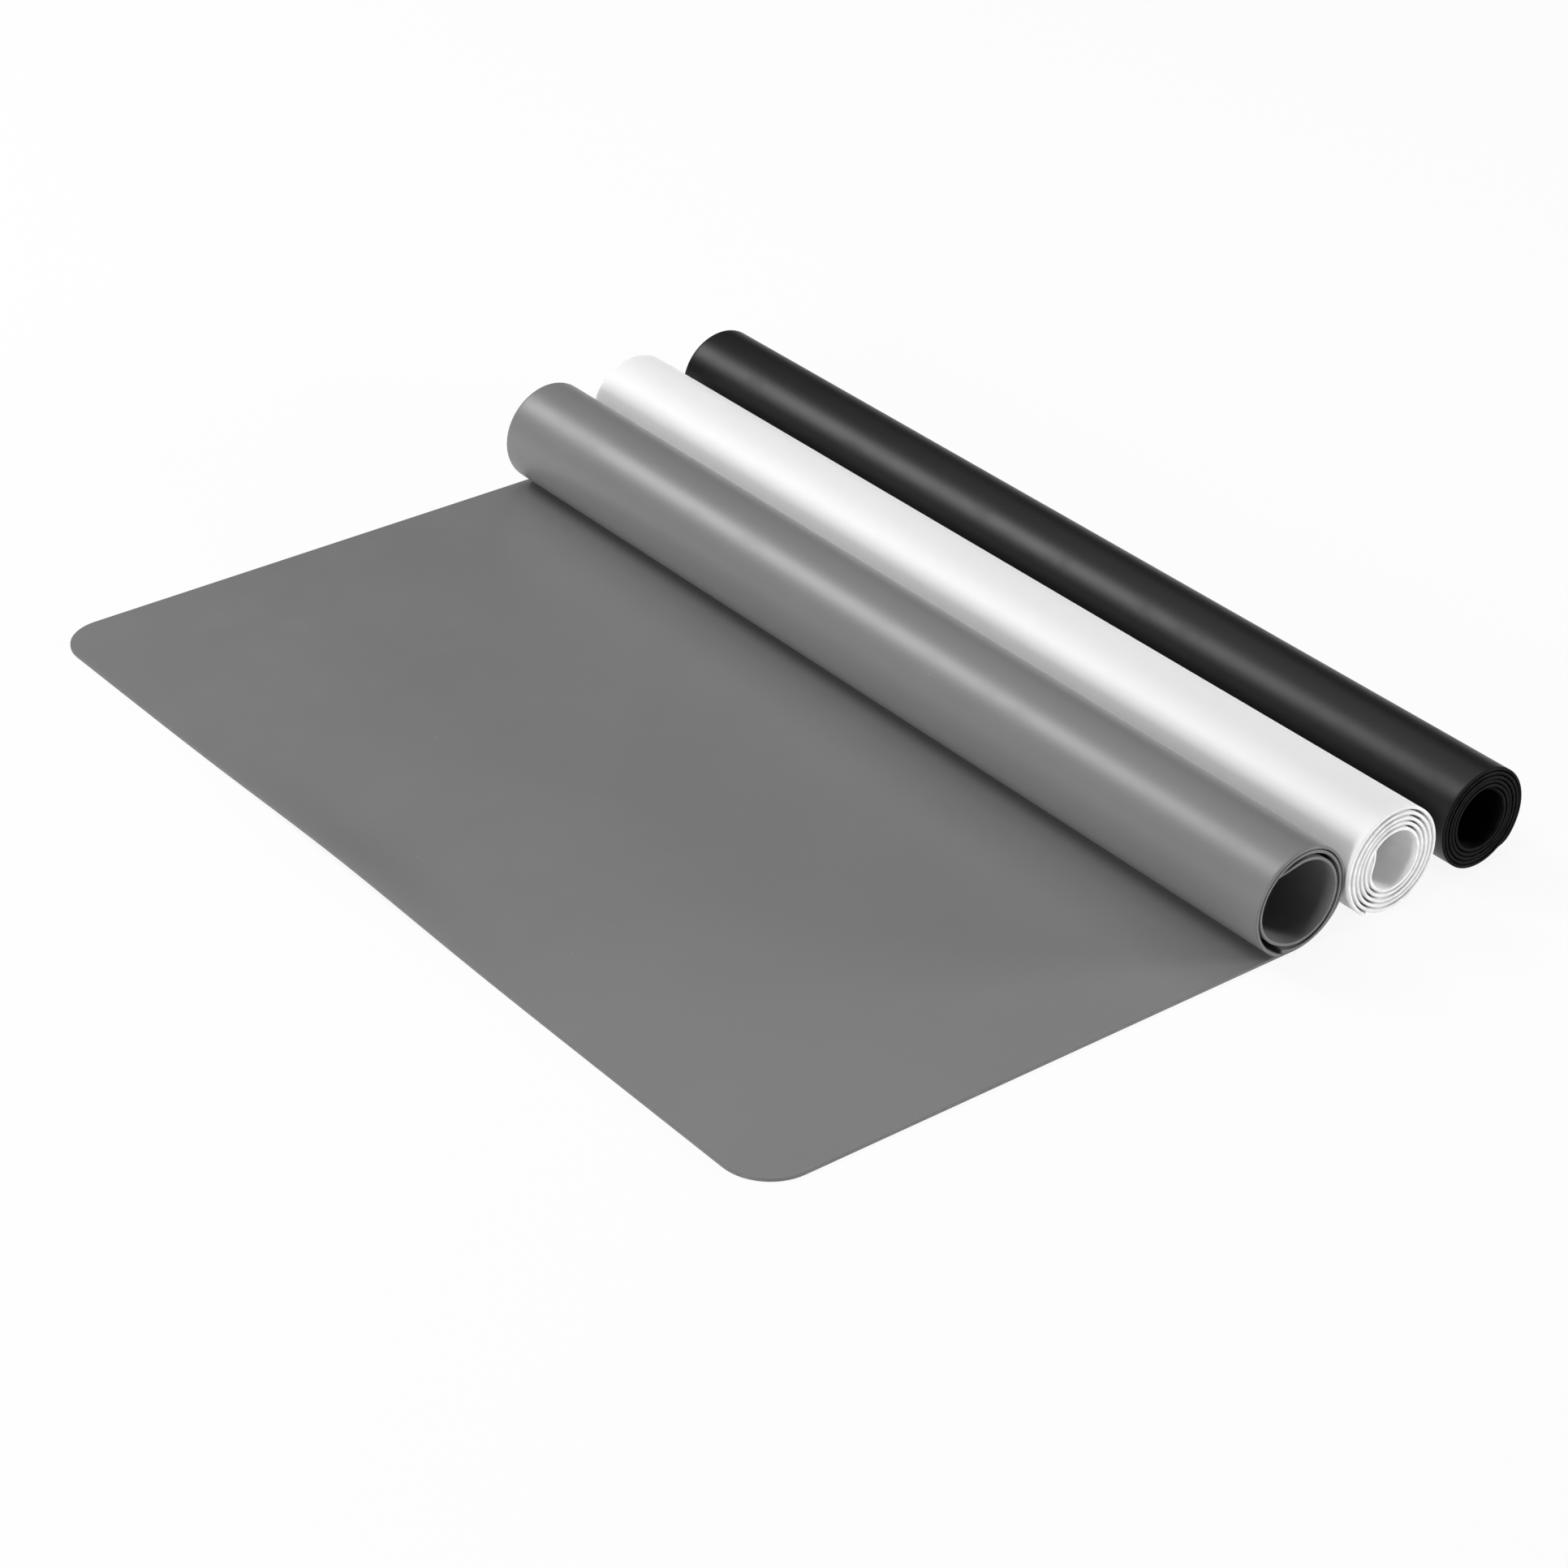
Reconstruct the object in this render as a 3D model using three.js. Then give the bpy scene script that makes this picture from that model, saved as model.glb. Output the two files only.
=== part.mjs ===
// A set of three silicone countertop mats: a grey one that is half rolled up, and a white one and a
// black one that lie rolled behind it. Millimetres, +Z up. The rolls lie along X, and the grey mat's
// front edge is towards -Y. The origin is on the counter, under the middle of the grey laid stretch.

import * as THREE from 'three';

// The sheet that each mat is made of
const MAT_LENGTH = 500; // the way that it rolls up
const MAT_WIDTH = 400; // along the roll
const THICKNESS = 1;
const CORNER_RADIUS = 17;

// How the mats are rolled
const WRAP_GAP = 0.45; // air between one wrap and the next, grey and black mats
const WHITE_WRAP_GAP = 0.8; // the white mat is rolled more loosely
const LAID_LENGTH = 211; // grey mat, from its front edge to the line where it leaves the counter
const GREY_ROLL_RADIUS = 19.1;
const WHITE_BORE_RADIUS = 9.65;
const BLACK_BORE_RADIUS = 9.7;
const TAIL_BEND_RADIUS = 3.5; // white mat: its inner end bends away from the wraps,
const TAIL_BEND_ANGLE = THREE.MathUtils.degToRad(62); // and then runs straight across the bore

// How the mats lie beside each other
const GREY_TO_WHITE = 0.3;
const WHITE_TO_BLACK = 5.8;
const WHITE_SHIFT = 2.6; // along X
const BLACK_SHIFT = 0.4; // along X

// The grey mat's rolled part moves over its laid part, so the sheet is cut in front of the roll
const LIP_CLEARANCE = 1.5; // the cut lies this far in front of the roll's foremost line
const CUT_GAP = 0.3;

// Facets
const FACET_ANGLE = THREE.MathUtils.degToRad(7.5);
const CORNER_STEPS = 8;
const SHORTEST_STEP = 0.2;
const GAP_SAMPLE = 1; // step between the points on which the gap between wraps is measured

// The radius that a wound sheet loses with each radian
const shrinkWith = (wrapGap) => (THICKNESS + wrapGap) / (2 * Math.PI);

// The mid-plane of a sheet seen along the roll, drawn stretch by stretch from one end of the mat.
// heading is the angle turned so far, and hand is 1 for a roll that winds anticlockwise seen from +X.
// A curl that shrinks is an involute of a circle, so that its wraps keep the same gap all round.
class SheetLine {
  constructor({ start, heading = 0, hand = 1, firstDistance = 0 }) {
    this.hand = hand;
    this.point = start;
    this.heading = heading;
    this.distance = firstDistance;
    this.stretches = [];
    this.stations = [firstDistance];
  }

  ahead(heading) {
    return new THREE.Vector2(this.hand * Math.cos(heading), Math.sin(heading));
  }

  outward(heading) {
    return new THREE.Vector2(this.hand * Math.sin(heading), -Math.cos(heading));
  }

  add(length, place) {
    const from = this.distance;
    const end = place(length);
    this.stretches.push({ from, place });
    this.point = end.point;
    this.heading = end.heading;
    this.distance = from + length;
    this.stations.push(this.distance);
    return this;
  }

  straight(length) {
    const { point, heading } = this;
    const ahead = this.ahead(heading);
    return this.add(length, (s) => ({ point: point.clone().addScaledVector(ahead, s), heading }));
  }

  curl(length, radius, shrink = 0) {
    const { heading, distance } = this;
    const centre = this.point.clone()
      .addScaledVector(this.outward(heading), -radius)
      .addScaledVector(this.ahead(heading), shrink);
    const radiusAt = (s) => Math.sqrt(radius ** 2 - 2 * shrink * s);
    const turnAt = (s) => (shrink > 0 ? (radius - radiusAt(s)) / shrink : s / radius);
    const lengthAt = (turn) => radius * turn - (shrink * turn ** 2) / 2;
    const turn = turnAt(length);
    const facets = Math.ceil(turn / FACET_ANGLE);
    for (let i = 1; i < facets; i++) {
      this.stations.push(distance + lengthAt((turn * i) / facets));
    }
    return this.add(length, (s) => {
      const now = heading + turnAt(s);
      const point = centre.clone()
        .addScaledVector(this.outward(now), radiusAt(s))
        .addScaledVector(this.ahead(now), -shrink);
      return { point, heading: now };
    });
  }

  at(distance) {
    const stretch = this.stretches.findLast(({ from }) => from <= distance) ?? this.stretches[0];
    const { point, heading } = stretch.place(distance - stretch.from);
    return { point, outward: this.outward(heading) };
  }
}

// Half of the mat's width at a distance along it: less than the full width only in the round corners.
function halfWidth(distance) {
  const fromEnd = Math.min(distance, MAT_LENGTH - distance);
  const intoCorner = Math.min(Math.max(CORNER_RADIUS - fromEnd, 0), CORNER_RADIUS);
  return MAT_WIDTH / 2 - CORNER_RADIUS + Math.sqrt(CORNER_RADIUS ** 2 - intoCorner ** 2);
}

function cornerStations() {
  const stations = [];
  for (let i = 1; i <= CORNER_STEPS; i++) {
    const fromEnd = CORNER_RADIUS * (1 - Math.cos((i / CORNER_STEPS) * (Math.PI / 2)));
    stations.push(fromEnd, MAT_LENGTH - fromEnd);
  }
  return stations;
}

// The distances at which the sheet gets a section, without steps too short for a facet.
function sectionsBetween(line, from, to) {
  const inner = [...line.stations, ...cornerStations()]
    .filter((s) => s > from + SHORTEST_STEP && s < to - SHORTEST_STEP)
    .sort((a, b) => a - b);
  const sections = [from];
  for (const s of inner) {
    if (s - sections.at(-1) > SHORTEST_STEP) sections.push(s);
  }
  return [...sections, to];
}

// The mat from one distance to another, bent along its line: a loft of its flat outline.
function bentSheet(line, from, to) {
  const sections = sectionsBetween(line, from, to);
  const positions = [];
  for (const s of sections) {
    const { point, outward } = line.at(s);
    const half = halfWidth(s);
    for (const [side, face] of [[1, -1], [1, 1], [-1, 1], [-1, -1]]) {
      const y = point.x + (outward.x * face * THICKNESS) / 2;
      const z = point.y + (outward.y * face * THICKNESS) / 2;
      positions.push(side * half, y, z);
    }
  }
  const triangles = [];
  const quad = (a, b, c, d) => {
    const corners = line.hand > 0 ? [a, b, c, a, c, d] : [a, c, b, a, d, c];
    triangles.push(...corners);
  };
  const last = 4 * (sections.length - 1);
  quad(3, 2, 1, 0);
  quad(last, last + 1, last + 2, last + 3);
  for (let ring = 0; ring < last; ring += 4) {
    for (let corner = 0; corner < 4; corner++) {
      const next = (corner + 1) % 4;
      quad(ring + corner, ring + next, ring + 4 + next, ring + 4 + corner);
    }
  }
  const geometry = new THREE.BufferGeometry();
  geometry.setAttribute('position', new THREE.Float32BufferAttribute(positions, 3));
  geometry.setIndex(triangles);
  geometry.computeVertexNormals();
  return geometry;
}

// The least air between a wound sheet and itself, measured on points a good half turn apart.
function leastGap(line, from, halfTurn) {
  const points = [];
  for (let s = from; s <= line.distance; s += GAP_SAMPLE) points.push({ s, point: line.at(s).point });
  let least = Infinity;
  for (const a of points) {
    for (const b of points) {
      if (b.s - a.s > halfTurn) least = Math.min(least, a.point.distanceTo(b.point));
    }
  }
  return least - THICKNESS;
}

const silicone = (color, roughness) => new THREE.MeshStandardMaterial({ color, roughness, metalness: 0 });
const greySilicone = silicone(0x7b7b7b, 0.5);
const whiteSilicone = silicone(0xf2f2f0, 0.45);
const blackSilicone = silicone(0x161617, 0.42);

function sheetMesh(name, geometry, material) {
  const mesh = new THREE.Mesh(geometry, material);
  mesh.name = name;
  return mesh;
}

// The grey mat, in a frame with y = 0 at its front edge. Its outer wrap is a round of one radius, which
// the wraps inside it can turn in, and it ends one wrap gap above the laid sheet.
const wrapRadius = GREY_ROLL_RADIUS - THICKNESS / 2;
const wrapTurn = 2 * Math.PI - Math.acos(1 - (THICKNESS + WRAP_GAP) / GREY_ROLL_RADIUS);
const wrapEnd = LAID_LENGTH + wrapTurn * wrapRadius;
const lipStart = LAID_LENGTH - GREY_ROLL_RADIUS - LIP_CLEARANCE;
const coreRadius = wrapRadius - THICKNESS - WRAP_GAP;
const coreShrink = shrinkWith(WRAP_GAP);

function greyMat() {
  const onCounter = new THREE.Vector2(0, THICKNESS / 2);
  const outerLine = new SheetLine({ start: onCounter })
    .straight(LAID_LENGTH)
    .curl(wrapEnd - LAID_LENGTH, wrapRadius);

  const axis = new THREE.Vector2(LAID_LENGTH, GREY_ROLL_RADIUS);
  const coreStart = axis
    .addScaledVector(outerLine.outward(wrapTurn), coreRadius)
    .addScaledVector(outerLine.ahead(wrapTurn), -coreShrink);
  const coreLine = new SheetLine({ start: coreStart, heading: wrapTurn, firstDistance: wrapEnd })
    .curl(MAT_LENGTH - wrapEnd, coreRadius, coreShrink);
  const coreGap = leastGap(coreLine, wrapEnd, Math.PI * coreRadius);
  console.log(`grey_mat_inner_wraps: least gap between wraps ${coreGap.toFixed(2)} mm`);

  const mat = new THREE.Group();
  mat.add(
    sheetMesh('grey_mat_laid_stretch', bentSheet(outerLine, 0, lipStart - CUT_GAP), greySilicone),
    sheetMesh('grey_mat_outer_wrap', bentSheet(outerLine, lipStart, wrapEnd), greySilicone),
    sheetMesh('grey_mat_inner_wraps', bentSheet(coreLine, wrapEnd, MAT_LENGTH), greySilicone),
  );
  return mat;
}

// How far a tail runs straight: until its tip is one wrap gap from the wrap around it.
function tailStraight(innerRadius, wrapGap) {
  const offCentre = innerRadius - TAIL_BEND_RADIUS;
  const lineToAxis = offCentre * Math.cos(TAIL_BEND_ANGLE) + TAIL_BEND_RADIUS;
  const wallRadius = innerRadius + THICKNESS / 2 - shrinkWith(wrapGap) * 2 * TAIL_BEND_ANGLE;
  const pastMiddle = Math.sqrt(wallRadius ** 2 - (lineToAxis + THICKNESS / 2) ** 2);
  return pastMiddle + offCentre * Math.sin(TAIL_BEND_ANGLE);
}

// A mat rolled up whole, in a frame with y = 0 under the roll's axis. Its outer edge lies underneath.
// front and back are how far the roll reaches from its axis, towards -Y and +Y.
function rolledMat({ name, material, boreRadius, wrapGap, hand, hasTail }) {
  const shrink = shrinkWith(wrapGap);
  const innerRadius = boreRadius + THICKNESS / 2;
  const straight = hasTail ? tailStraight(innerRadius, wrapGap) : 0;
  const bend = hasTail ? TAIL_BEND_RADIUS * TAIL_BEND_ANGLE : 0;
  const woundLength = MAT_LENGTH - straight - bend;
  const outerRadius = Math.sqrt(innerRadius ** 2 + 2 * shrink * woundLength);

  const line = new SheetLine({ start: new THREE.Vector2(-hand * shrink, THICKNESS / 2), hand })
    .curl(woundLength, outerRadius, shrink);
  if (hasTail) line.curl(bend, TAIL_BEND_RADIUS).straight(straight);
  const gap = leastGap(line, 0, Math.PI * innerRadius);
  console.log(`${name}: least gap between wraps ${gap.toFixed(2)} mm`);

  const mat = new THREE.Group();
  mat.add(sheetMesh(name, bentSheet(line, 0, MAT_LENGTH), material));
  const reachAfter = (turn) => outerRadius - shrink * turn + THICKNESS / 2;
  const [nearSide, farSide] = [reachAfter(Math.PI / 2), reachAfter((3 * Math.PI) / 2)];
  return { mat, back: hand > 0 ? nearSide : farSide, front: hand > 0 ? farSide : nearSide };
}

const grey = greyMat();
const white = rolledMat({
  name: 'white_mat',
  material: whiteSilicone,
  boreRadius: WHITE_BORE_RADIUS,
  wrapGap: WHITE_WRAP_GAP,
  hand: -1,
  hasTail: true,
});
const black = rolledMat({
  name: 'black_mat',
  material: blackSilicone,
  boreRadius: BLACK_BORE_RADIUS,
  wrapGap: WRAP_GAP,
  hand: 1,
  hasTail: false,
});

const frontEdge = -(lipStart - CUT_GAP) / 2;
const whiteAxis = frontEdge + LAID_LENGTH + GREY_ROLL_RADIUS + GREY_TO_WHITE + white.front;
const blackAxis = whiteAxis + white.back + WHITE_TO_BLACK + black.front;

grey.position.set(0, frontEdge, 0);
white.mat.position.set(WHITE_SHIFT, whiteAxis, 0);
black.mat.position.set(BLACK_SHIFT, blackAxis, 0);

const matSet = new THREE.Group();
matSet.add(grey, white.mat, black.mat);

export default matSet;
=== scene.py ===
"""Three silicone countertop mats: a grey one half unrolled, a white and a black one rolled up behind it.

Each mat is modelled flat, as it leaves its mould, and then wound along its own line. The grey mat is cut
into the pieces that move apart: its front margin, the laid stretch, the outer round and the inner rounds.
Everything is in metres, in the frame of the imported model.
"""

import math

import bpy
import numpy as np
from mathutils import Matrix, Vector


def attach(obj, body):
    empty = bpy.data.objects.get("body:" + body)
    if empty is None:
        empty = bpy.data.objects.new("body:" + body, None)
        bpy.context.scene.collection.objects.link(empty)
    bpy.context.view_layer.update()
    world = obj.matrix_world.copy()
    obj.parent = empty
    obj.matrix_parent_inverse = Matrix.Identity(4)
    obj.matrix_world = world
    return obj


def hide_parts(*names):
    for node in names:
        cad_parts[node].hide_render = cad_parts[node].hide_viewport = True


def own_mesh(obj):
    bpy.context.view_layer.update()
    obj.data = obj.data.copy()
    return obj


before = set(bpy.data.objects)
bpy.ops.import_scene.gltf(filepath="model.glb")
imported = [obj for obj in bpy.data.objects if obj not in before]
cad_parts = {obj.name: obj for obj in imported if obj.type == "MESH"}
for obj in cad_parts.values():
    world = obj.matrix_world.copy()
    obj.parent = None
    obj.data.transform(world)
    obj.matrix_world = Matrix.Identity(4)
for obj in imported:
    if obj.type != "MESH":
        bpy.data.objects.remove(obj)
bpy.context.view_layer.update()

MM = 0.001

# The mat as it is moulded, the same sizes as in the part's source
MAT_LENGTH = 500 * MM
MAT_WIDTH = 400 * MM
THICKNESS = 1 * MM
CORNER_RADIUS = 17 * MM

# Its mesh, which lies flat with its width along X and its length along Y
ACROSS = 0
ALONG = 1
CORNER_SEGMENTS = 14
RIM_ROUNDING = 0.28 * MM
RIM_SEGMENTS = 3
RIM_ANGLE = math.radians(50)  # edges that turn by more than this are rounded
RIM_BAND = 1.2 * MM  # a narrow band of faces inside the rim, which keeps the faces beyond it flat
COLUMNS = 28
ROW_STEP = 1 * MM
ROW_BLOCKS = 5
CUT_TOLERANCE = 1e-7
SAME_ROW = 1e-6  # points that differ by less than this along the mat are in one row
SHORTEST_EDGE = 0.01 * MM
SMOOTH_ANGLE = math.radians(35)

# How the mats are wound
WRAP_GAP = 0.45 * MM
WHITE_WRAP_GAP = 0.8 * MM
LAID_LENGTH = 211 * MM  # from the grey mat's front edge to the line where it leaves the counter
GREY_ROLL_RADIUS = 19.1 * MM
WHITE_BORE_RADIUS = 9.65 * MM
BLACK_BORE_RADIUS = 9.7 * MM
TAIL_BEND_RADIUS = 3.5 * MM  # the white mat's inner end is bent across its bore
TAIL_BEND_ANGLE = math.radians(62)
QUARTER_TURN = math.pi / 2

# How they lie beside each other
GREY_TO_WHITE = 0.3 * MM
WHITE_TO_BLACK = 5.8 * MM
WHITE_SHIFT = 2.6 * MM
BLACK_SHIFT = 0.4 * MM
LIP_CLEARANCE = 1.5 * MM
CUT_GAP = 0.3 * MM

# The front margin is a piece of its own, cut off the stretch behind it
MARGIN_DEPTH = 22 * MM

# What makes a hand-rolled sheet differ from a drawn one
SIDE_DRIFT = 0.22 * MM  # how far the edge of a wrap stands out beside its neighbours
SIDE_DRIFT_SCALE = 150 * MM
GREY_LOOSENESS = 0.05 * MM  # how far a wrap strays from its line
WHITE_LOOSENESS = 0.12 * MM
BLACK_LOOSENESS = 0.12 * MM
LOOSENESS_SCALE = 90 * MM
LOOSEN_OVER = 30 * MM  # the length in which both of them set in
WAVE_LENGTHS = np.array([1.0, 0.62, 0.37, 0.23])  # of each unevenness, as shares of its scale
WAVE_HEIGHTS = np.array([0.5, 0.3, 0.2, 0.1])
GREY_SEED = 11
WHITE_SEED = 23
BLACK_SEED = 37
GREY_LEAN = 1.3 * MM  # the grey roll lies this far to the side of its laid stretch
INNER_ROUND_GAP = 1.2 * MM  # the grey mat's last round lies more loosely than the ones outside it
STEP_SHARE = 0.2  # the part of a turn in which it steps in there
ROUND_SAMPLES = 4000
EDGE_LIFT = 1.8 * MM  # the front edge stands off the counter here
EDGE_LIFT_AT = -20 * MM
EDGE_LIFT_WIDTH = 60 * MM
EDGE_LIFT_DEPTH = 12 * MM

# The marks on silicone: the noises that they come from, and the spans of these that make a mark
HANDLING_NOISE = {"scale": 16.0, "detail": 3.0}
SMEAR_NOISE = {"scale": 55.0, "detail": 4.0, "breakup": 0.65}
GRAIN_NOISE = {"scale": 1500.0, "detail": 2.0}
PEBBLE_NOISE = {"scale": 420.0, "detail": 2.0}
LINT_NOISE = {"scale": 90.0, "detail": 0.0}
EDGE_PATCH_NOISE = {"scale": 240.0, "detail": 2.0}
NOISE_MIDDLE = 0.5
HANDLING_SPAN = (0.3, 0.7)
SMEAR_SPAN = (0.48, 0.72)
EDGE_PATCH_SPAN = (0.3, 0.65)
EDGE_PATCH_BAND = (0.05 * MM, 1.1 * MM)  # from the edge: the patches in full up to the first distance, none past the second
MATT_BAND = (0.2 * MM, 0.6 * MM)  # the same for the matt of the trimmed rim
LINT_CELLS = 70.0  # to a metre, with room for one speck in each
LINT_SIZE = 0.03  # the most that the radius of a speck can be, as a share of its cell
LINT_SPAN = (-0.008, 0.006)  # across its soft edge

# How much each mark does to the colour, the roughness and the relief
EDGE_PATCH_TINT = 0.6
LINT_TINT = 0.55
HANDLING_ROUGHNESS = 0.08
SMEAR_ROUGHNESS = 0.05
EDGE_PATCH_ROUGHNESS = 0.08
LINT_ROUGHNESS = 0.2
GRAIN_HEIGHT = 0.6
PEBBLE_HEIGHT = 0.4
RELIEF_STRENGTH = 0.35
RELIEF_DEPTH = 0.05 * MM

# The three silicones, by the material slots of the record
SILICONE_IOR = 1.41
SILICONES = {
    "grey_silicone": {
        "colour": (0.2, 0.2, 0.2),
        "roughness": 0.4,
        "speck": (0.42, 0.42, 0.41),
        "mottle": 0.015,
        "edge_shade": 0.85,
        "rim_matt": 0.7,
        "shader": {"Specular IOR Level": 1.0},
    },
    "white_silicone": {
        "colour": (0.93, 0.93, 0.93),
        "roughness": 0.45,
        "speck": (0.55, 0.54, 0.52),
        "mottle": 0.015,
        "edge_shade": 0.78,
        "rim_matt": 0.0,
        "shader": {
            "Specular IOR Level": 0.3,
            "Subsurface Weight": 0.7,
            "Subsurface Radius": (1.0, 1.0, 1.0),
            "Subsurface Scale": 1.0 * MM,
        },
    },
    "black_silicone": {
        "colour": (0.005, 0.005, 0.0053),
        "roughness": 0.4,
        "speck": (0.16, 0.16, 0.155),
        "mottle": 0.12,
        "edge_shade": 2.4,
        "rim_matt": 0.85,
        "shader": {"Specular IOR Level": 0.5},
    },
}

# Floor and light
PLAIN_WHITE = (1.0, 1.0, 1.0)
FLOOR_SIZE = 80.0
FLOOR_BELOW = 0.15 * MM
FLOOR_SHADE = 0.93
FLOOR_WHITE = 0.9  # share of plain white in what the camera sees of the floor
SKY_STRENGTH = 0.06
LAMP_DISTANCE = 1.8
LIT_POINT = Vector((0.0, 0.08, 0.015))

# Photographed view
LENS = 95.758
SENSOR = 36.0
CAMERA_PLACE = Vector((0.94252, -0.68957, 0.71780))
CAMERA_AZIMUTH = math.radians(51.0543)
CAMERA_ELEVATION = math.radians(31.3847)
CAMERA_ROLL = math.radians(1.386)


def eased(share):
    """A share from 0 to 1 that starts and ends gently."""
    return share**2 * (3 - 2 * share)


class SheetLine:
    """The middle of a sheet seen along its roll, drawn stretch by stretch from one end of the mat."""

    def __init__(self, start, heading=0.0, hand=1, first_distance=0.0):
        self.hand = hand
        self.point = np.array(start, float)
        self.heading = heading
        self.distance = first_distance
        self.stretches = []

    def ahead(self, heading):
        return np.stack([self.hand * np.cos(heading), np.sin(heading)], -1)

    def outward(self, heading):
        return np.stack([self.hand * np.sin(heading), -np.cos(heading)], -1)

    def add(self, length, place):
        self.stretches.append((self.distance, place))
        points, headings = place(np.array([length]))
        self.point = points[0]
        self.heading = headings[0]
        self.distance += length
        return self

    def straight(self, length):
        point = self.point
        heading = self.heading
        ahead = self.ahead(heading)

        def place(s):
            return point + s[:, None] * ahead, np.full(len(s), heading)

        return self.add(length, place)

    def curl(self, length, radius, shrink=0.0):
        """Winds a circle, or a spiral whose radius shrinks by so much with each radian."""
        heading = self.heading
        centre = self.point - self.outward(heading) * radius + self.ahead(heading) * shrink

        def place(s):
            now = np.sqrt(radius**2 - 2 * shrink * s)
            turned = (radius - now) / shrink if shrink else s / radius
            headings = heading + turned
            points = centre + self.outward(headings) * now[:, None] - self.ahead(headings) * shrink
            return points, headings

        return self.add(length, place)

    def rounds(self, length, radius, pitch):
        """Winds rounds of even radius, and steps in to the next round at the end of each turn."""
        heading = self.heading
        centre = self.point - self.outward(heading) * radius
        # Twice the turn that the first radius would take is enough for the smaller rounds after it.
        turned = np.linspace(0, 2 * length / radius, ROUND_SAMPLES)
        stepped = eased(np.clip(((turned / math.tau) % 1 - 1) / STEP_SHARE + 1, 0, 1))
        radii = radius - pitch * (turned // math.tau + stepped)
        slopes = np.gradient(radii, turned)
        steps = np.hypot(radii, slopes)[1:] * np.diff(turned)
        run = np.concatenate([[0.0], np.cumsum(steps)])

        def place(s):
            now = np.interp(s, run, turned)
            radius_now = np.interp(now, turned, radii)
            inwards = -np.arctan2(np.interp(now, turned, slopes), radius_now)
            points = centre + self.outward(heading + now) * radius_now[:, None]
            return points, heading + now + inwards

        return self.add(length, place)

    def at(self, distances):
        """The points of the middle of the sheet, and the directions away from the roll's axis."""
        points = np.empty((len(distances), 2))
        headings = np.empty(len(distances))
        starts = [start for start, _ in self.stretches]
        which = np.clip(np.searchsorted(starts, distances, side="right") - 1, 0, None)
        for i, (start, place) in enumerate(self.stretches):
            here = which == i
            if here.any():
                points[here], headings[here] = place(distances[here] - start)
        return points, self.outward(headings)


def choose(piece):
    """Makes one object the only selected one, and active."""
    bpy.ops.object.select_all(action="DESELECT")
    piece.select_set(True)
    bpy.context.view_layer.objects.active = piece


def places_of(piece):
    places = np.empty(3 * len(piece.data.vertices))
    piece.data.vertices.foreach_get("co", places)
    return places.reshape(-1, 3)


def cut(axis, place, **options):
    """Cuts the mesh in edit mode with a plane that is square to an axis."""
    normal = Vector((0, 0, 0))
    normal[axis] = 1
    bpy.ops.mesh.select_all(action="SELECT")
    bpy.ops.mesh.bisect(
        plane_co=normal * place, plane_no=normal, threshold=CUT_TOLERANCE, **options
    )


def pick_long_edges(piece, from_y, to_y):
    """Selects the edges that run along Y from one row to another, and nothing else."""
    bpy.ops.mesh.select_all(action="DESELECT")
    bpy.ops.object.mode_set(mode="OBJECT")
    edges = piece.data.edges
    y = places_of(piece)[:, ALONG]
    ends = np.empty(2 * len(edges), np.int32)
    edges.foreach_get("vertices", ends)
    low, high = np.sort(y[ends.reshape(-1, 2)], axis=1).T
    picked = (abs(low - from_y) < SAME_ROW) & (abs(high - to_y) < SAME_ROW)
    edges.foreach_set("select", picked)
    bpy.ops.object.mode_set(mode="EDIT")


def apply_modifier(piece, kind, **settings):
    modifier = piece.modifiers.new(kind.title(), kind)
    for name, value in settings.items():
        setattr(modifier, name, value)
    bpy.ops.object.modifier_apply(modifier=modifier.name)


def flat_mat():
    """One mat as it leaves its mould: flat, its length along +Y from 0, with round corners and rim."""
    bpy.ops.object.select_all(action="DESELECT")
    bpy.ops.mesh.primitive_plane_add(size=1, location=(0, MAT_LENGTH / 2, 0))
    mat = bpy.context.object
    mat.scale = (MAT_WIDTH, MAT_LENGTH, 1)
    bpy.ops.object.transform_apply(location=True, rotation=False, scale=True)
    bpy.ops.object.mode_set(mode="EDIT")
    bpy.context.tool_settings.mesh_select_mode = (False, True, False)
    bpy.ops.mesh.select_all(action="SELECT")
    bpy.ops.mesh.bevel(
        offset=CORNER_RADIUS, offset_type="OFFSET", segments=CORNER_SEGMENTS, affect="VERTICES"
    )
    bpy.ops.mesh.select_all(action="SELECT")
    bpy.ops.mesh.inset(thickness=RIM_BAND, use_boundary=True)

    for i in range(1, COLUMNS):
        cut(ACROSS, MAT_WIDTH * (i / COLUMNS - 0.5))
    # Rows in the round corners are cut one by one, half a step off so that none falls on the rim band.
    # Those between them are cut block by block.
    corner_rows = math.ceil(CORNER_RADIUS / ROW_STEP)
    for i in range(1, corner_rows + 1):
        from_end = (i + 0.5) * ROW_STEP
        cut(ALONG, from_end)
        cut(ALONG, MAT_LENGTH - from_end)
    block = (MAT_LENGTH - 2 * from_end) / ROW_BLOCKS
    for i in range(1, ROW_BLOCKS):
        cut(ALONG, from_end + i * block)
    for i in range(ROW_BLOCKS):
        pick_long_edges(mat, from_end + i * block, from_end + (i + 1) * block)
        bpy.ops.mesh.subdivide(number_cuts=round(block / ROW_STEP) - 1)
    bpy.ops.object.mode_set(mode="OBJECT")

    apply_modifier(mat, "SOLIDIFY", thickness=THICKNESS, offset=0.0)
    apply_modifier(
        mat,
        "BEVEL",
        width=RIM_ROUNDING,
        segments=RIM_SEGMENTS,
        limit_method="ANGLE",
        angle_limit=RIM_ANGLE,
    )
    bpy.ops.object.mode_set(mode="EDIT")
    bpy.ops.mesh.select_all(action="SELECT")
    bpy.ops.mesh.remove_doubles(threshold=SHORTEST_EDGE)
    bpy.ops.object.mode_set(mode="OBJECT")
    return mat


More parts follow.
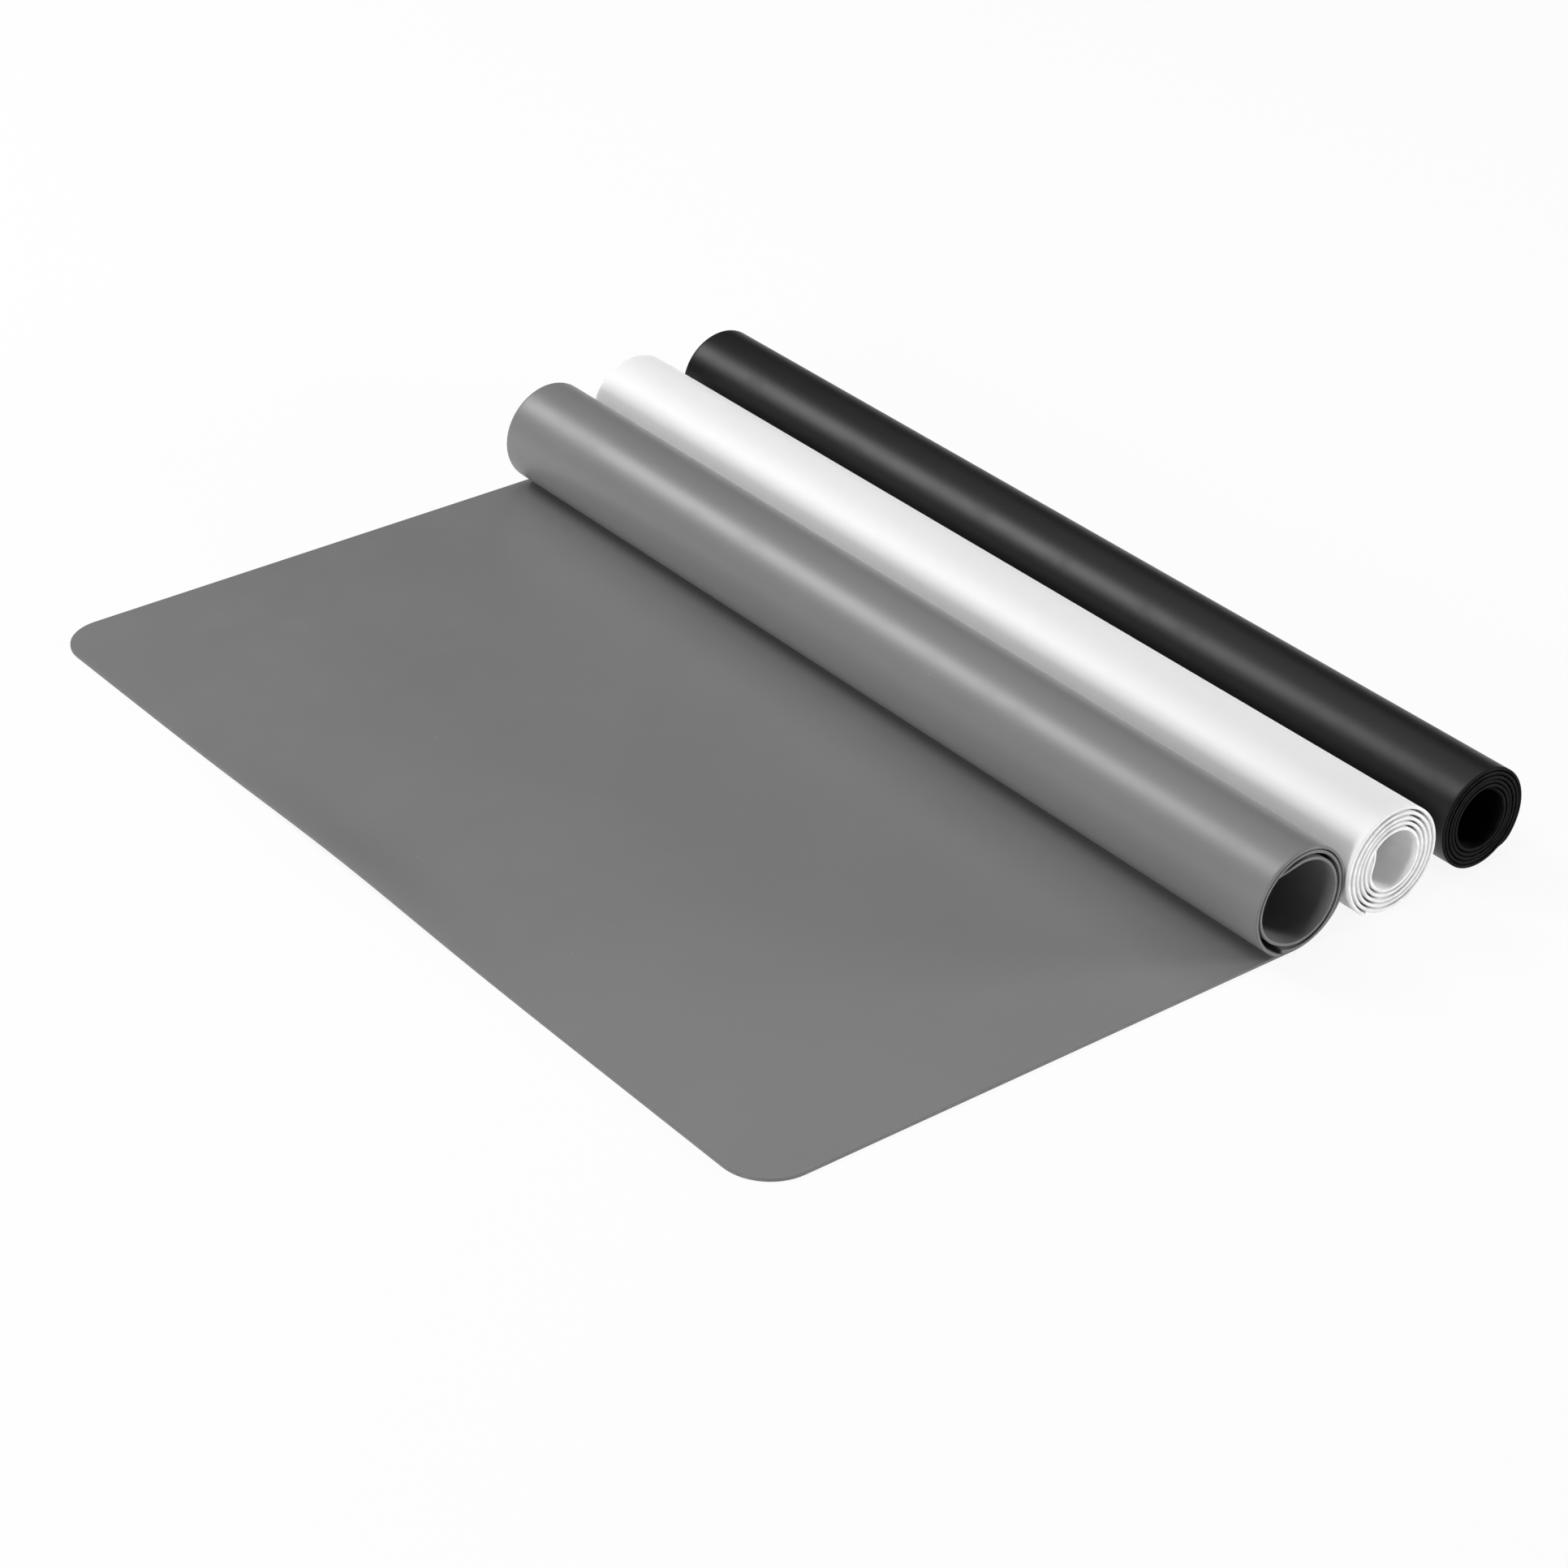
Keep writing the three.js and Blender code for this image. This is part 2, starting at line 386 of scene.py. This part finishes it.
def stretch_of(mat, name, from_y, to_y):
    """A copy of the flat mat under a new name, whole or cut off at one or both ends."""
    piece = mat.copy()
    piece.data = mat.data.copy()
    piece.name = piece.data.name = name
    bpy.context.scene.collection.objects.link(piece)
    choose(piece)
    bpy.ops.object.mode_set(mode="EDIT")
    if from_y > 0:
        cut(ALONG, from_y, use_fill=True, clear_inner=True)
    if to_y < MAT_LENGTH:
        cut(ALONG, to_y, use_fill=True, clear_outer=True)
    bpy.ops.object.mode_set(mode="OBJECT")
    return piece


def keep_edge_distance(piece, x, y):
    """Stores how far each point of the flat mat is from its outline, for the patches along the edges."""
    past = np.stack([abs(x) - MAT_WIDTH / 2, abs(y - MAT_LENGTH / 2) - MAT_LENGTH / 2], 1)
    past += CORNER_RADIUS
    outside = np.linalg.norm(np.maximum(past, 0), axis=1)
    inside = np.minimum(past.max(axis=1), 0)
    attribute = piece.data.attributes.new("from_edge", "FLOAT", "POINT")
    attribute.data.foreach_set("value", (CORNER_RADIUS - outside - inside).astype(np.float32))


def stray(distances, scale, seed):
    """A slow unevenness along the sheet, between about -1 and 1."""
    phases = np.random.default_rng(seed).uniform(0, math.tau, len(WAVE_LENGTHS))
    turns = math.tau * distances[:, None] / (scale * WAVE_LENGTHS)
    return (np.sin(turns + phases) * WAVE_HEIGHTS).sum(1)


def edge_lift(x, y):
    """How far the grey mat's front edge stands off the counter."""
    across = np.exp(-(((x - EDGE_LIFT_AT) / EDGE_LIFT_WIDTH) ** 2))
    return EDGE_LIFT * across * np.exp(-((y / EDGE_LIFT_DEPTH) ** 2))


def wind(piece, line, place, seed, looseness, loose_from=0.0, lean=0.0, lift=None):
    """Bends a flat piece along its line. Its upper face comes to lie towards the roll's axis."""
    x, y, z = places_of(piece).T
    keep_edge_distance(piece, x, y)
    points, outward = line.at(y)
    ease = eased(np.clip((y - loose_from) / LOOSEN_OVER, 0, 1))
    off = -z + ease * looseness * stray(y, LOOSENESS_SCALE, seed)
    wound = np.empty((len(x), 3))
    drift = lean + SIDE_DRIFT * stray(y, SIDE_DRIFT_SCALE, seed + 1)
    wound[:, 0] = line.hand * x + place[0] + ease * drift
    wound[:, 1:] = points + outward * off[:, None]
    wound[:, 1] += place[1]
    if lift is not None:
        wound[:, 2] += lift(x, y)
    piece.data.vertices.foreach_set("co", wound.ravel())
    piece.data.update()
    choose(piece)
    bpy.ops.object.shade_smooth_by_angle(angle=SMOOTH_ANGLE)


# The lines that the three mats follow, each in its own frame: y = 0 at the grey mat's front edge, or
# under the axis of a rolled one. The grey mat's outer wrap ends where it comes down on the laid sheet.
wrap_radius = GREY_ROLL_RADIUS - THICKNESS / 2
wrap_turn = math.tau - math.acos(1 - (THICKNESS + WRAP_GAP) / GREY_ROLL_RADIUS)
wrap_end = LAID_LENGTH + wrap_turn * wrap_radius
lip_start = LAID_LENGTH - GREY_ROLL_RADIUS - LIP_CLEARANCE
core_radius = wrap_radius - THICKNESS - WRAP_GAP

grey_outer_line = SheetLine((0, THICKNESS / 2)).straight(LAID_LENGTH)
grey_outer_line.curl(wrap_end - LAID_LENGTH, wrap_radius)
grey_axis = np.array([LAID_LENGTH, GREY_ROLL_RADIUS])
core_start = grey_axis + grey_outer_line.outward(wrap_turn) * core_radius
grey_core_line = SheetLine(core_start, heading=wrap_turn, first_distance=wrap_end)
grey_core_line.rounds(MAT_LENGTH - wrap_end, core_radius, THICKNESS + INNER_ROUND_GAP)


def rolled_line(bore_radius, wrap_gap, hand, has_tail):
    """The line of a mat that is rolled up whole, and how far the roll reaches towards -Y and +Y."""
    shrink = (THICKNESS + wrap_gap) / math.tau
    inner = bore_radius + THICKNESS / 2
    bend = straight = 0.0
    if has_tail:
        # The tail ends one wrap gap from the wrap that it meets.
        off_centre = inner - TAIL_BEND_RADIUS
        line_to_axis = off_centre * math.cos(TAIL_BEND_ANGLE) + TAIL_BEND_RADIUS
        wall = inner + THICKNESS / 2 - shrink * 2 * TAIL_BEND_ANGLE
        past_middle = math.sqrt(wall**2 - (line_to_axis + THICKNESS / 2) ** 2)
        bend = TAIL_BEND_RADIUS * TAIL_BEND_ANGLE
        straight = past_middle + off_centre * math.sin(TAIL_BEND_ANGLE)
    wound = MAT_LENGTH - straight - bend
    outer = math.sqrt(inner**2 + 2 * shrink * wound)
    line = SheetLine((-hand * shrink, THICKNESS / 2), hand=hand).curl(wound, outer, shrink)
    if has_tail:
        line.curl(bend, TAIL_BEND_RADIUS).straight(straight)
    after_one_quarter, after_three = (
        outer - shrink * turn + THICKNESS / 2 for turn in (QUARTER_TURN, 3 * QUARTER_TURN)
    )
    reach = (after_three, after_one_quarter) if hand > 0 else (after_one_quarter, after_three)
    return line, *reach


white_line, white_front, white_back = rolled_line(
    WHITE_BORE_RADIUS, WHITE_WRAP_GAP, hand=-1, has_tail=True
)
black_line, black_front, _ = rolled_line(BLACK_BORE_RADIUS, WRAP_GAP, hand=1, has_tail=False)

front_edge = -(lip_start - CUT_GAP) / 2
white_axis = front_edge + LAID_LENGTH + GREY_ROLL_RADIUS + GREY_TO_WHITE + white_front
black_axis = white_axis + white_back + WHITE_TO_BLACK + black_front


class Wire:
    """A socket of a finish, with which sums can be written."""

    def __init__(self, finish, socket):
        self.finish = finish
        self.socket = socket

    def combine(self, operation, first, second):
        return self.finish.node("Math", {0: first, 1: second}, operation=operation)

    def __add__(self, other):
        return self.combine("ADD", self, other)

    def __radd__(self, other):
        return self.combine("ADD", other, self)

    def __sub__(self, other):
        return self.combine("SUBTRACT", self, other)

    def __rsub__(self, other):
        return self.combine("SUBTRACT", other, self)

    def __mul__(self, other):
        return self.combine("MULTIPLY", self, other)

    def __rmul__(self, other):
        return self.combine("MULTIPLY", other, self)


class Finish:
    """A material, or the world, whose nodes are made one by one."""

    def __init__(self, owner):
        owner.use_nodes = True
        self.owner = owner
        self.tree = owner.node_tree
        self.tree.nodes.clear()

    def node(self, kind, sockets=None, output=0, **settings):
        made = self.tree.nodes.new("ShaderNode" + kind)
        for name, value in settings.items():
            setattr(made, name, value)
        for name, value in (sockets or {}).items():
            if isinstance(value, Wire):
                self.tree.links.new(value.socket, made.inputs[name])
            else:
                made.inputs[name].default_value = value
        return Wire(self, made.outputs[output]) if len(made.outputs) else None


# The sockets of a Mix node that are for colours
MIX_A = 6
MIX_B = 7
MIX_RESULT = 2


def tinted(colour, share=1.0):
    return (*(min(1.0, c * share) for c in colour), 1.0)


def silicone(name, colour, roughness, speck, mottle, edge_shade, rim_matt, shader):
    """Moulded silicone: a fine matt grain, slow handling marks, a few specks of lint, rougher patches of
    another tone along the edges.

    mottle is how far its shade varies, edge_shade the tone of the edge patches beside the rest, and
    rim_matt the share of the gloss that the trimmed rim lacks."""
    finish = Finish(bpy.data.materials.new(name))
    place = finish.node("TexCoord", output="Object")
    from_edge = finish.node("Attribute", output="Fac", attribute_name="from_edge")

    def noise(scale, detail, breakup=0.55):
        sockets = {"Vector": place, "Scale": scale, "Detail": detail, "Roughness": breakup}
        return finish.node("TexNoise", sockets)

    def ramp(value, span, from_value=0.0, to_value=1.0):
        sockets = {
            "Value": value,
            "From Min": span[0],
            "From Max": span[1],
            "To Min": from_value,
            "To Max": to_value,
        }
        return finish.node("MapRange", sockets, interpolation_type="SMOOTHSTEP")

    def mixed(share, first, second):
        sockets = {0: share, MIX_A: first, MIX_B: second}
        return finish.node("Mix", sockets, MIX_RESULT, data_type="RGBA")

    handling = noise(**HANDLING_NOISE)
    smears = ramp(noise(**SMEAR_NOISE), SMEAR_SPAN)
    grain = noise(**GRAIN_NOISE)
    pebble = noise(**PEBBLE_NOISE)
    lint_size = noise(**LINT_NOISE)
    cells = {"Vector": place, "Scale": LINT_CELLS}
    lint_near = finish.node("TexVoronoi", cells, "Distance", feature="F1")
    lint = ramp(lint_near - lint_size * LINT_SIZE, LINT_SPAN, 1.0, 0.0)
    edge_patches = ramp(from_edge, EDGE_PATCH_BAND, 1.0, 0.0) * ramp(noise(**EDGE_PATCH_NOISE), EDGE_PATCH_SPAN)

    shade = ramp(handling, HANDLING_SPAN)
    body = mixed(shade, tinted(colour, 1 - mottle), tinted(colour, 1 + mottle))
    # The edge patches make the colour darker along the edges of the grey and white mats, and lighter along
    # those of the black one.
    edged = mixed(edge_patches * EDGE_PATCH_TINT, body, tinted(colour, edge_shade))
    dusted = mixed(lint * LINT_TINT, edged, tinted(speck))
    rubbed = (handling - NOISE_MIDDLE) * HANDLING_ROUGHNESS
    soiled = smears * SMEAR_ROUGHNESS + edge_patches * EDGE_PATCH_ROUGHNESS + lint * LINT_ROUGHNESS
    height = grain * GRAIN_HEIGHT + pebble * PEBBLE_HEIGHT + lint
    relief = finish.node(
        "Bump", {"Strength": RELIEF_STRENGTH, "Distance": RELIEF_DEPTH, "Height": height}
    )
    surface = finish.node(
        "BsdfPrincipled",
        {
            "Base Color": dusted,
            "Roughness": roughness + rubbed + soiled,
            "Normal": relief,
            "IOR": SILICONE_IOR,
            **shader,
        },
    )
    if rim_matt:
        rim = ramp(from_edge, MATT_BAND, rim_matt, 0.0)
        matt = finish.node("BsdfDiffuse", {"Color": dusted, "Normal": relief})
        surface = finish.node("MixShader", {0: rim, 1: surface, 2: matt})
    finish.node("OutputMaterial", {"Surface": surface})
    return finish.owner


finishes = {slot: silicone(slot, **look) for slot, look in SILICONES.items()}
moulding = flat_mat()


def make_piece(
    name, body, node, slot, held, from_y=0.0, to_y=MAT_LENGTH, rests_on=(), **winding
):
    """Makes a stretch of a mat with its material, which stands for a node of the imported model."""
    piece = stretch_of(moulding, name, from_y, to_y)
    wind(piece, **winding)
    piece.data.materials.clear()
    piece.data.materials.append(finishes[slot])
    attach(piece, body)
    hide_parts(node)
    to_y - from_y
    return piece


grey = {
    "slot": "grey_silicone",
    "place": (0, front_edge),
    "seed": GREY_SEED,
    "looseness": GREY_LOOSENESS,
    "loose_from": LAID_LENGTH,
}
laid = {
    **grey,
    "body": "laid_stretch",
    "node": "grey_mat_laid_stretch",
    "held": "laid",
    "line": grey_outer_line,
    "lift": edge_lift,
}
make_piece("grey_front_margin", to_y=MARGIN_DEPTH, **laid)
grey_laid = make_piece("grey_laid_sheet", from_y=MARGIN_DEPTH, to_y=lip_start, **laid)
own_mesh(grey_laid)
make_piece(
    "grey_outer_round",
    body="grey_roll",
    node="grey_mat_outer_wrap",
    held="folded",
    line=grey_outer_line,
    from_y=lip_start,
    to_y=wrap_end,
    lean=GREY_LEAN,
    **grey,
)
make_piece(
    "grey_inner_rounds",
    body="grey_core",
    node="grey_mat_inner_wraps",
    held="folded",
    line=grey_core_line,
    from_y=wrap_end,
    lean=GREY_LEAN,
    rests_on=["grey_outer_round"],
    **grey,
)
make_piece(
    "white_rolled_mat",
    body="white_roll",
    node="white_mat",
    slot="white_silicone",
    held="folded",
    line=white_line,
    place=(WHITE_SHIFT, white_axis),
    seed=WHITE_SEED,
    looseness=WHITE_LOOSENESS,
)
make_piece(
    "black_rolled_mat",
    body="black_roll",
    node="black_mat",
    slot="black_silicone",
    held="folded",
    line=black_line,
    place=(BLACK_SHIFT, black_axis),
    seed=BLACK_SEED,
    looseness=BLACK_LOOSENESS,
)
bpy.data.objects.remove(moulding)

bpy.ops.object.select_all(action="DESELECT")
bpy.ops.mesh.primitive_plane_add(size=FLOOR_SIZE, location=(0, 0, -FLOOR_BELOW))
floor = bpy.context.object
floor.name = floor.data.name = "floor"


def seen_directly(finish):
    """1 for rays of the camera and for those that a reflection or clear matter passes on, else 0."""
    camera = finish.node("LightPath", output="Is Camera Ray")
    glossy = finish.node("LightPath", output="Is Glossy Ray")
    through = finish.node("LightPath", output="Is Transmission Ray")
    return finish.node("Math", {0: camera, 1: glossy}, operation="MAXIMUM") + through


paper = Finish(bpy.data.materials.new("paper_floor"))
paper_matt = paper.node("BsdfDiffuse", {"Color": tinted(PLAIN_WHITE, FLOOR_SHADE)})
paper_white = paper.node("Emission", {"Color": tinted(PLAIN_WHITE), "Strength": 1.0})
white_share = seen_directly(paper) * FLOOR_WHITE
paper_seen = paper.node("MixShader", {0: white_share, 1: paper_matt, 2: paper_white})
paper.node("OutputMaterial", {"Surface": paper_seen})
floor.data.materials.append(paper.owner)

world = bpy.data.worlds.new("studio")
bpy.context.scene.world = world
sky = Finish(world)
sky_light = sky.node("Background", {"Color": tinted(PLAIN_WHITE), "Strength": SKY_STRENGTH})
sky.node("OutputWorld", {"Surface": sky_light})


def direction(azimuth, elevation):
    """The way towards a lamp or camera. Azimuth 0 is the front, and a quarter turn the right (+X)."""
    return Vector(
        (
            math.sin(azimuth) * math.cos(elevation),
            -math.cos(azimuth) * math.cos(elevation),
            math.sin(elevation),
        )
    )


def stand(name, data, place, right, up, back):
    """Puts a lamp or camera in its place, with its own three axes."""
    thing = bpy.data.objects.new(name, data)
    bpy.context.scene.collection.objects.link(thing)
    turned = Matrix((right, up, back)).transposed()
    thing.matrix_world = Matrix.Translation(place) @ turned.to_4x4()
    return thing


def soft_lamp(name, azimuth, elevation, size, level):
    """A soft box that faces the mats. Its angles are in degrees.

    level is the light that it gives square on, 1 being full white."""
    light = bpy.data.lights.new(name, "AREA")
    light.shape = "RECTANGLE"
    light.size, light.size_y = size
    light.energy = level * (math.pi * LAMP_DISTANCE) ** 2
    back = direction(math.radians(azimuth), math.radians(elevation))
    side = Vector((1, 0, 0))
    right = (side - back * side.dot(back)).normalized()
    place = LIT_POINT + back * LAMP_DISTANCE
    lamp = stand(name, light, place, right, back.cross(right), back)
    lamp.visible_camera = False


soft_lamp("strip_lamp", azimuth=292, elevation=44.5, size=(0.7, 0.65), level=0.46)
soft_lamp("top_lamp", azimuth=0, elevation=85, size=(1.4, 1.4), level=0.26)
soft_lamp("back_lamp", azimuth=225, elevation=60, size=(1.4, 1.4), level=0.14)
soft_lamp("front_lamp", azimuth=10, elevation=16, size=(0.35, 0.5), level=0.5)
soft_lamp("end_lamp", azimuth=138, elevation=8, size=(0.6, 0.35), level=0.8)

photo_view = bpy.data.cameras.new("photo_view")
photo_view.lens = LENS
photo_view.sensor_width = SENSOR
photo_view.sensor_fit = "HORIZONTAL"
camera_back = direction(CAMERA_AZIMUTH, CAMERA_ELEVATION)
level_right = Vector((0, 0, 1)).cross(camera_back).normalized()
level_up = camera_back.cross(level_right)
camera_right = level_right * math.cos(CAMERA_ROLL) + level_up * math.sin(CAMERA_ROLL)
camera_up = level_up * math.cos(CAMERA_ROLL) - level_right * math.sin(CAMERA_ROLL)
bpy.context.scene.camera = stand(
    "photo_view", photo_view, CAMERA_PLACE, camera_right, camera_up, camera_back
)

bpy.context.scene.view_settings.view_transform = "Standard"
